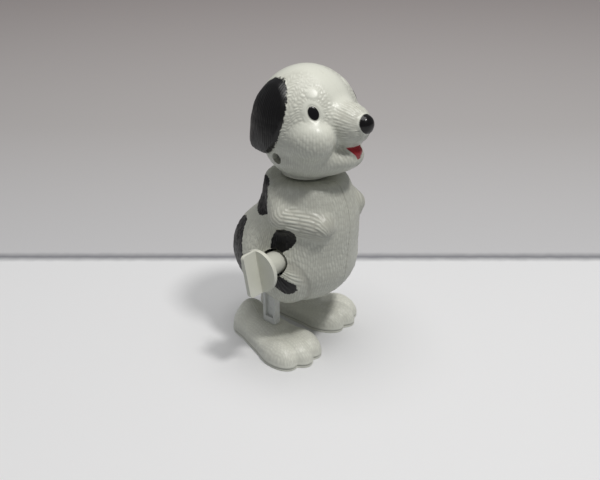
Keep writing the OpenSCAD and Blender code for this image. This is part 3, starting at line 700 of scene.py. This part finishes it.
def side_reach(gap, at, radius):
    """How far from the middle plane a boss may go before it meets the skin of the form."""
    rim = circle(radius, at, steps=8)
    start = np.insert(rim, 0, 0, axis=1)
    return reach(gap, start, np.tile([1.0, 0, 0], (8, 1)), shell_wall / 4)[:, 0].min()

def screw_side(gap, at):
    """Boss with a recess for a screw, and its holes."""
    top = side_reach(gap, at, recess_r)
    seat = top - recess_depth
    bosses = [prism(circle(boss_r, at), 0, seat), prism(circle(recess_r, at), seat - recess_floor, top)]
    return bosses, [prism(circle(screw_r, at), -1, beyond), prism(circle(screw_recess_r, at), seat, beyond)]

def bite_side(gap, at):
    """Boss that a screw bites into, and its hole."""
    boss = prism(circle(boss_r, at), 0, side_reach(gap, at, boss_r))
    return [boss], [prism(circle(screw_r, at), -1, bite)]

def peg_side(gap, at):
    """Peg that stands out of a half."""
    return [prism(circle(peg_r, at), -peg_reach, side_reach(gap, at, peg_r))], []

def socket_side(gap, at):
    """Boss that a peg goes into, and its hole."""
    boss = prism(circle(socket_r, at), 0, side_reach(gap, at, socket_r))
    return [boss], [prism(circle(screw_r, at), -1, peg_reach + peg_play)]

print("screw holes of", 2 * screw_r, "mm")

# %% Booleans
def work(piece, added, cut):
    """Join prisms to a piece, then cut others from it."""
    for tools, operation in ((added, "UNION"), (cut, "DIFFERENCE")):
        for tool in tools:
            step = piece.modifiers.new("work", "BOOLEAN")
            step.operation = operation
            step.solver = "MANIFOLD"
            step.object = tool
    bpy.context.view_layer.update()
    done = piece.evaluated_get(bpy.context.evaluated_depsgraph_get())
    mesh = bpy.data.meshes.new_from_object(done)
    piece.modifiers.clear()
    rough = piece.data
    piece.data = mesh
    mesh.name = piece.name
    bpy.data.meshes.remove(rough)
    for tool in added + cut:
        bpy.data.meshes.remove(tool.data)
    return len(mesh.vertices)

def joined(*sides):
    """All the bosses and all the holes of several fastenings."""
    return sum((side[0] for side in sides), []), sum((side[1] for side in sides), [])

print("booleans ready")

# %% [markdown]
# ## The head halves
# Two halves close round the rim of the neck and turn on it together. A screw and a peg hold them. The net
# is fine enough for three points across each hair, because a coarser one would lose the strokes.

# %% Head halves
neck_at = joint_at("head_turn")[:2]
neck_r, neck_rim, neck_top, neck_seat = 5.2, 1.5, 60.7, 58.9
neck_play, rim_play, floor_step = 0.06, 0.3, 0.1
head_screw, head_peg = (-3.5, 64.2), (-3.5, 81.96)
head_steps, head_rows = 440, 111

def neck_disc(radius, low, high):
    return prism(circle(radius, neck_at), low, high, along_x=False)

def half_neck_disc(radius, low, high):
    return prism(circle(radius, neck_at, -90, 90), low, high, along_x=False)

def head_half(name, eye, seed, *fastenings):
    """A head half with its floor, its fastenings and its seat on the neck."""
    made = carved_half(name, head_gap, lambda p: head_relief(p, eye, seed),
                       head_middle, head_steps, head_rows)
    added, cut = joined(*fastenings)
    added.append(half_neck_disc(neck_r + neck_rim + shell_wall / 2, head_floor + floor_step, neck_seat))
    cut.append(neck_disc(neck_r + neck_play, head_floor - 1, neck_top))
    cut.append(neck_disc(neck_r + neck_rim + rim_play, neck_seat, neck_top + rim_play))
    print(name, "points:", work(made, added, cut))
    return made

head_moulding_right = head_half("head_moulding_right", right_eye, 3,
                                screw_side(head_gap, head_screw), peg_side(head_gap, head_peg))
head_moulding_left = head_half("head_moulding_left", left_eye, 8,
                               bite_side(head_gap, head_screw), socket_side(head_gap, head_peg))

# %% [markdown]
# ## The body halves
# The right half has the keyhole and three lugs that the motor is screwed to. The left half takes the heads
# of the two body screws, and its hand is raised a little. Both have half of the neck on top and a slot for
# a leg below. A mirrored copy of one half would be less work, but the two sides differ too much for that.

# %% Body halves
left_hand_lift = 2
body_screws, body_peg = [(-3, 51.4), (17.4, 28.3)], (-10.81, 20.765)
motor_lugs, lug_hole_r, lug_hole_end = [(-5.7, 22.51), (12.36, 27.05), (-7.21, 42.77)], 0.82, 11.75
case_side, keyhole_r = 7.55, 4.25
slot_low, slot_high, slot_top = (8.65, -1.5), (12.45, 9.1), 23.2
body_core = np.add(belly_middle, (0, -1.5, 7))
body_steps, body_rows = 520, 120

def right_body_gap(p):
    return body_gap(p, 0)

def left_body_gap(p):
    return body_gap(p, left_hand_lift)

def body_half(name, gap, hand_lift, seed, *fastenings):
    """A body half with its fastenings, half of the neck and a slot for a leg."""
    made = carved_half(name, gap, lambda p: body_relief(p, hand_lift, seed),
                       body_core, body_steps, body_rows)
    added, cut = joined(*fastenings)
    added.append(half_neck_disc(neck_r, shoulder_height - shell_wall / 2, neck_top))
    added.append(half_neck_disc(neck_r + neck_rim, neck_top - shell_wall, neck_top))
    cut.append(prism(rectangle(slot_low, slot_high), 0, slot_top, along_x=False))
    print(name, "points:", work(made, added, cut))
    return made

lugs = [([prism(circle(boss_r, at), case_side, side_reach(right_body_gap, at, boss_r))],
         [prism(circle(lug_hole_r, at), 0, lug_hole_end)]) for at in motor_lugs]
keyhole = ([], [prism(circle(keyhole_r, keyhole_at), case_side, beyond)])
body_moulding_right = body_half("body_moulding_right", right_body_gap, 0, 13, keyhole, *lugs,
                                peg_side(right_body_gap, body_peg),
                                *[bite_side(right_body_gap, at) for at in body_screws])
body_moulding_left = body_half("body_moulding_left", left_body_gap, left_hand_lift, 18,
                               socket_side(left_body_gap, body_peg),
                               *[screw_side(left_body_gap, at) for at in body_screws])

# %% [markdown]
# ## The feet
# A foot is one solid moulding, pressed on the end of a leg and turned a little outward. It has short
# dashes of fur on top and a fine line just above the sole. It could be sculpted, but the rays that made the
# halves make it too, from a point low inside, and a prism below the floor then cuts it flat.

# %% Feet
leg_middle = joint_at("leg_left_swing")[0]
right_leg_y, left_leg_y = joint_at("leg_right_swing")[1], joint_at("leg_left_swing")[1]
leg_half_width, leg_half_depth, collar_half_depth, press_play = 1.1, 1.8, 2.5, 0.02
socket_floor = 4.08
toe_out = np.radians(10)
foot_turn = np.array([[0, np.sin(toe_out), np.cos(toe_out)],
                      [0, -np.cos(toe_out), np.sin(toe_out)],
                      [1, 0, 0]])
foot_core, foot_stretch = np.array([-0.4, 2, 0]), (1, 2.2, 1.2)
foot_steps, foot_rows = 420, 90
sole_line_cut, sole_line_at = 0.22, 0.75
foot_cut, foot_lane, foot_length, foot_sway, foot_taper, foot_seed = 0.12, 0.75, 1.2, 0.6, 0.8, 4

def foot_relief(p):
    up, ahead, out = p[..., 0], p[..., 1], p[..., 2]
    sole_line = ease(0.35, 0.1, abs(up - sole_line_at))
    lanes = out / foot_lane + foot_sway * sway(p, 0.9, foot_seed)
    dashes = hairs(ahead, lanes, foot_length, foot_seed, foot_taper)
    return foot_cut * ease(1.2, 2.2, up) * (dashes - 1) - sole_line_cut * sole_line - under_skin

def leg_hole(leg_y, half_depth, floor):
    """Room for a leg, open at the top."""
    half = np.array([leg_half_width + press_play, half_depth + press_play])
    middle = np.array([leg_middle, leg_y])
    return prism(rectangle(middle - half, middle + half), floor, beyond, along_x=False)

def foot(name, leg_y):
    outer = reach(foot_gap, foot_core, ray_fan(foot_steps, foot_rows, foot_stretch))
    outer = outer + outward(foot_gap, outer) * foot_relief(outer)[:, None]
    points, faces = closed_half(outer, foot_core[None], foot_steps)
    made = solid(name, points @ foot_turn.T + (leg_middle, leg_y, 0), faces)
    below = prism(rectangle((-beyond, -beyond), (beyond, beyond)), -beyond, 0, along_x=False)
    holes = [leg_hole(leg_y, leg_half_depth, socket_floor), leg_hole(leg_y, collar_half_depth, ankle_top)]
    print(name, "points:", work(made, [], [below, *holes]))
    return made

foot_moulding_right = foot("foot_moulding_right", right_leg_y)
foot_moulding_left = foot("foot_moulding_left", left_leg_y)

# %% [markdown]
# ## Paint
# The ears, spots, eyes, nose and tongue are brushed on by hand through a quick mask, so their edges wander.
# An image painted on an unwrapped mesh would do, but here each point stores how deep it lies inside a
# painted patch, in millimetres. The material then turns that depth into a sharp or ragged edge.

# %% Depth of paint on the head
ear_paint_edge, ear_paint_from = 1.01, 5.5

def paint_head(p, eye):
    q = fold(p, head_middle)
    ear = np.maximum((ear_place(q)[0] - ear_paint_edge) * ear_half_width, ear_paint_from - q[..., 0])
    iris = np.where(q[..., 1] < 0, (eye_place(q, eye)[2] - 1) * eye_half_width, far_off)
    return {"brushed_black": -ear,
            "gloss_black": -np.minimum(iris, nose_gap(q)),
            "tongue_red": -tongue_gap(q)}

print("coats on the head: ears, eyes and nose, tongue")

# %% Depth of paint on the body
spots_from = 6
upper_y, upper_z, upper_half_width, upper_half_height, upper_lean = -7.4, 10.6, 3.7, 4, 0.3
lower_start, lower_end, lower_r = (0, -7.6, -1.9), (0, -10.4, -3.7), 2.1
rump_spot_at, rump_spot_r, rump_edge_y, rump_edge_lean = np.array([12, 14, 0.5]), 10, 5.5, 0.56
nape_at, nape_size = (12, 5, 20.3), (8, 7.3, 6)

def paint_body(p):
    q = fold(p, belly_middle)
    x, y, z = q[..., 0], q[..., 1], q[..., 2]
    over = z - upper_z
    upper = np.hypot((y - upper_y + upper_lean * over) / upper_half_width, over / upper_half_height) - 1
    lower = bar_gap(q * [0, 1, 1], lower_start, lower_end, lower_r, lower_r)
    flank = np.maximum(np.minimum(upper * upper_half_height, lower), spots_from - x)
    rump_edge = (rump_edge_y + rump_edge_lean * z - y) / np.hypot(1, rump_edge_lean)
    rump = np.maximum(rump_edge, np.linalg.norm(q - rump_spot_at, axis=-1) - rump_spot_r)
    nape = round_gap(q, nape_at, nape_size)
    return {"brushed_black": -np.minimum.reduce([flank, rump, nape])}

print("spots on each side of the body: 4")

# %% Store the paint and hand each moulding to its body
deepest_furrow, paint_reach = 0.3, 0.8
sharp_edge = np.radians(50)

def settle(piece, body, node, gap, paint, right_side):
    """Mirror a right half, store the paint and the depth of the cuts, and hand the piece to its body."""
    mesh = piece.data
    points = np.zeros(len(mesh.vertices) * 3)
    mesh.vertices.foreach_get("co", points)
    points = points.reshape(-1, 3)
    skin_depth = -gap(points / MM)
    coats = {"furrow": np.clip(skin_depth - under_skin, 0, deepest_furrow)}
    for coat, depth in paint(points / MM).items():
        coats[coat] = np.minimum(depth, paint_reach - skin_depth)
    for coat, depth in coats.items():
        mesh.attributes.new(coat, "FLOAT", "POINT").data.foreach_set("value", depth.astype(np.float32))
    if right_side:
        points[:, 0] *= -1
        mesh.vertices.foreach_set("co", points.ravel())
        mesh.flip_normals()
    mesh.shade_smooth()
    mesh.set_sharp_from_angle(angle=sharp_edge)
    mesh.update()
    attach(piece, body)
    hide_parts(node)

def placed_foot_gap(leg_y):
    """Distance to a foot where it stands."""
    return lambda p: foot_gap((p - np.array([leg_middle, leg_y, 0])) @ foot_turn)

settle(head_moulding_right, "head", "head_right", head_gap, lambda p: paint_head(p, right_eye), True)
settle(head_moulding_left, "head", "head_left", head_gap, lambda p: paint_head(p, left_eye), False)
settle(body_moulding_right, "body", "body_right", right_body_gap, paint_body, True)
settle(body_moulding_left, "body", "body_left", left_body_gap, paint_body, False)
settle(foot_moulding_right, "leg_right", "foot_right", placed_foot_gap(right_leg_y), lambda p: {}, True)
settle(foot_moulding_left, "leg_left", "foot_left", placed_foot_gap(left_leg_y), lambda p: {}, False)
print("paint stored on six mouldings")

# %% [markdown]
# ## White plastic
# The figure is a warm white plastic, smoother in some places than in others. The feet get a paler white,
# which is painted light that makes them look more brightly lit. The furrows are dusty, and painted shade
# darkens them further. Paint lies on top: brushed black with a ragged edge, and gloss black and red for the
# eyes, the nose and the tongue. A separate material for each patch would follow the edges of faces, so one
# material mixes the coats by their stored depth.

# %% Helpers for coats of paint
edge_soft, brush_grain = 0.08, 1300.0

def mix_number(tree, factor, under, over):
    return add(tree, "Mix", {0: factor, 2: under, 3: over}, data_type="FLOAT").outputs[0]

def stored(tree, name):
    """A value that the points of a mesh carry."""
    return add(tree, "Attribute", attribute_name=name).outputs["Fac"]

def coat_edge(tree, name, ragged, place):
    """1 under a coat of paint and 0 outside it, with an edge that wanders by so many millimetres."""
    wander = spread(tree, noise(tree, place, brush_grain), start=-ragged, end=ragged)
    depth = calculate(tree, "ADD", stored(tree, name), wander)
    return spread(tree, depth, -edge_soft, edge_soft)

print("coats ready")

# %% Plastic with coats of paint
plastic_white = (0.75, 0.755, 0.67, 1)
# The feet's paler white is painted light: it makes them look more brightly lit than the body.
painted_light_foot_white = (0.85, 0.85, 0.76, 1)
# Colour for the furrows: partly dusty, partly painted shade.
dust_and_shade_white = (0.44, 0.43, 0.37, 1)
paint_black = (0.006, 0.0055, 0.006, 1)
tongue_red = (0.42, 0.025, 0.035, 1)
dust_and_shade_from, dust_and_shade_to, most_dust_and_shade = 0.03, 0.26, 0.65
smoothest, roughest, cloud_grain = 0.25, 0.36, 90.0
skin_grain, skin_grain_height = 2600.0, 0.06 * MM

def painted_plastic(name, white, coats):
    """Dusty plastic with painted shade in its furrows, under coats with colours, roughness and ragged
    edges.
    """
    made, tree, shader = material(name)
    place = add(tree, "TexCoord").outputs["Object"]
    # Furrows turn darker, partly dusty and partly painted shade.
    dust_and_shade = spread(tree, stored(tree, "furrow"), dust_and_shade_from, dust_and_shade_to, end=most_dust_and_shade)
    colour = mix(tree, dust_and_shade, white, dust_and_shade_white)
    roughness = spread(tree, noise(tree, place, cloud_grain), start=smoothest, end=roughest)
    for coat, paint, coat_roughness, ragged in coats:
        edge = coat_edge(tree, coat, ragged, place)
        colour = mix(tree, edge, colour, paint)
        roughness = mix_number(tree, edge, roughness, coat_roughness)
    grain = noise(tree, place, skin_grain, 2.0)
    bump = add(tree, "Bump", {"Height": grain, "Strength": 0.25, "Distance": skin_grain_height})
    tree.links.new(colour, shader.inputs["Base Color"])
    tree.links.new(roughness, shader.inputs["Roughness"])
    tree.links.new(bump.outputs["Normal"], shader.inputs["Normal"])
    shader.inputs["Specular IOR Level"].default_value = 0.35
    return made

brushed_coat = ("brushed_black", paint_black, 0.34, 0.5)
gloss_coat = ("gloss_black", paint_black, 0.2, 0.05)
tongue_coat = ("tongue_red", tongue_red, 0.22, 0.05)
head_plastic = painted_plastic("head_plastic", plastic_white, [brushed_coat, gloss_coat, tongue_coat])
body_plastic = painted_plastic("body_plastic", plastic_white, [brushed_coat])
foot_plastic = painted_plastic("foot_plastic", painted_light_foot_white, [])
for piece, plastic in ((head_moulding_right, head_plastic), (head_moulding_left, head_plastic),
                       (body_moulding_right, body_plastic), (body_moulding_left, body_plastic),
                       (foot_moulding_right, foot_plastic), (foot_moulding_left, foot_plastic)):
    piece.data.materials.clear()
    piece.data.materials.append(plastic)
print("plastics:", head_plastic.name, body_plastic.name, foot_plastic.name)

# %% [markdown]
# ## The key, the legs and the clockwork
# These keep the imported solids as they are. Moulded and stamped edges are never knife sharp, so the larger
# pieces get a narrow bevel, which catches a line of light along each edge. Each finish is made of the marks
# that the real one has: flow marks on the plastics, turning or rolling lines on the metals.

# %% Finishes and bevels
roughness_swing = 0.08
bevel_from = np.radians(40)

def finish_of(name, colour, dark, rough, metal=0.0, stretch=(1, 1, 1), scale=700.0):
    """A finish whose colour and gloss follow noise, stretched along the marks of its making."""
    made, tree, shader = material(name)
    place = add(tree, "TexCoord").outputs["Object"]
    marks = noise(tree, add(tree, "Mapping", {"Vector": place, "Scale": stretch}).outputs["Vector"], scale)
    roughness = spread(tree, marks, start=rough + roughness_swing, end=rough - roughness_swing)
    raised = add(tree, "Bump", {"Height": marks, "Strength": 0.1, "Distance": 0.05 * MM}).outputs["Normal"]
    tree.links.new(ramp(tree, marks, [(0.3, dark), (0.7, colour)]), shader.inputs["Base Color"])
    tree.links.new(roughness, shader.inputs["Roughness"])
    tree.links.new(raised, shader.inputs["Normal"])
    shader.inputs["Metallic"].default_value = metal
    return made

def dress(finish, bevel, *names):
    """Give solids a finish, and a bevel of so many millimetres."""
    for name in names:
        piece = nodes[name]
        for slot in piece.material_slots:
            slot.material = finish
        if bevel:
            weld = piece.modifiers.new("weld", "WELD")
            weld.merge_threshold = MM / 1000
            edge = piece.modifiers.new("edge", "BEVEL")
            edge.width = bevel * MM
            edge.segments = 2
            edge.limit_method = "ANGLE"
            edge.angle_limit = bevel_from

print("finishes ready")

# %% Dress the key, the legs and the clockwork
lengthwise, upright_lines = (0.05, 1, 1), (1, 1, 0.05)
key_ivory = finish_of("key_ivory", (0.77, 0.77, 0.68), (0.71, 0.71, 0.62), 0.30, scale=120.0)
leg_grey = finish_of("leg_grey", (0.72, 0.73, 0.70), (0.66, 0.67, 0.64), 0.28, scale=150.0)
case_white = finish_of("case_white", (0.76, 0.77, 0.76), (0.70, 0.71, 0.70), 0.5, scale=300.0)
gear_yellow = finish_of("gear_yellow", (0.86, 0.80, 0.58), (0.80, 0.73, 0.50), 0.35, scale=300.0)
bright_steel = finish_of("bright_steel", (0.66, 0.66, 0.67), (0.52, 0.52, 0.53), 0.28,
                         metal=1.0, stretch=lengthwise, scale=1500.0)
blued_steel = finish_of("blued_steel", (0.34, 0.37, 0.45), (0.25, 0.27, 0.34), 0.3,
                        metal=1.0, stretch=upright_lines, scale=1500.0)
fly_brass = finish_of("fly_brass", (0.72, 0.60, 0.34), (0.60, 0.48, 0.26), 0.3,
                      metal=1.0, stretch=lengthwise, scale=1500.0)
dress(key_ivory, 0.18, "winding_key")
dress(leg_grey, 0.12, "leg_right", "leg_left")
dress(case_white, 0.1, "motor_case", "motor_cover", "crank_right", "crank_left")
dress(gear_yellow, 0, "great_wheel", "crank_gear", "third_wheel", "governor_pinion")
dress(bright_steel, 0, "head_screw", "body_screws", "case_screws", "winding_arbor", "ratchet_wheel",
      "click_spring", "crankshaft")
dress(blued_steel, 0, "mainspring")
dress(fly_brass, 0.08, "governor_fly")
print("metals:", bright_steel.name, blued_steel.name, fly_brass.name)
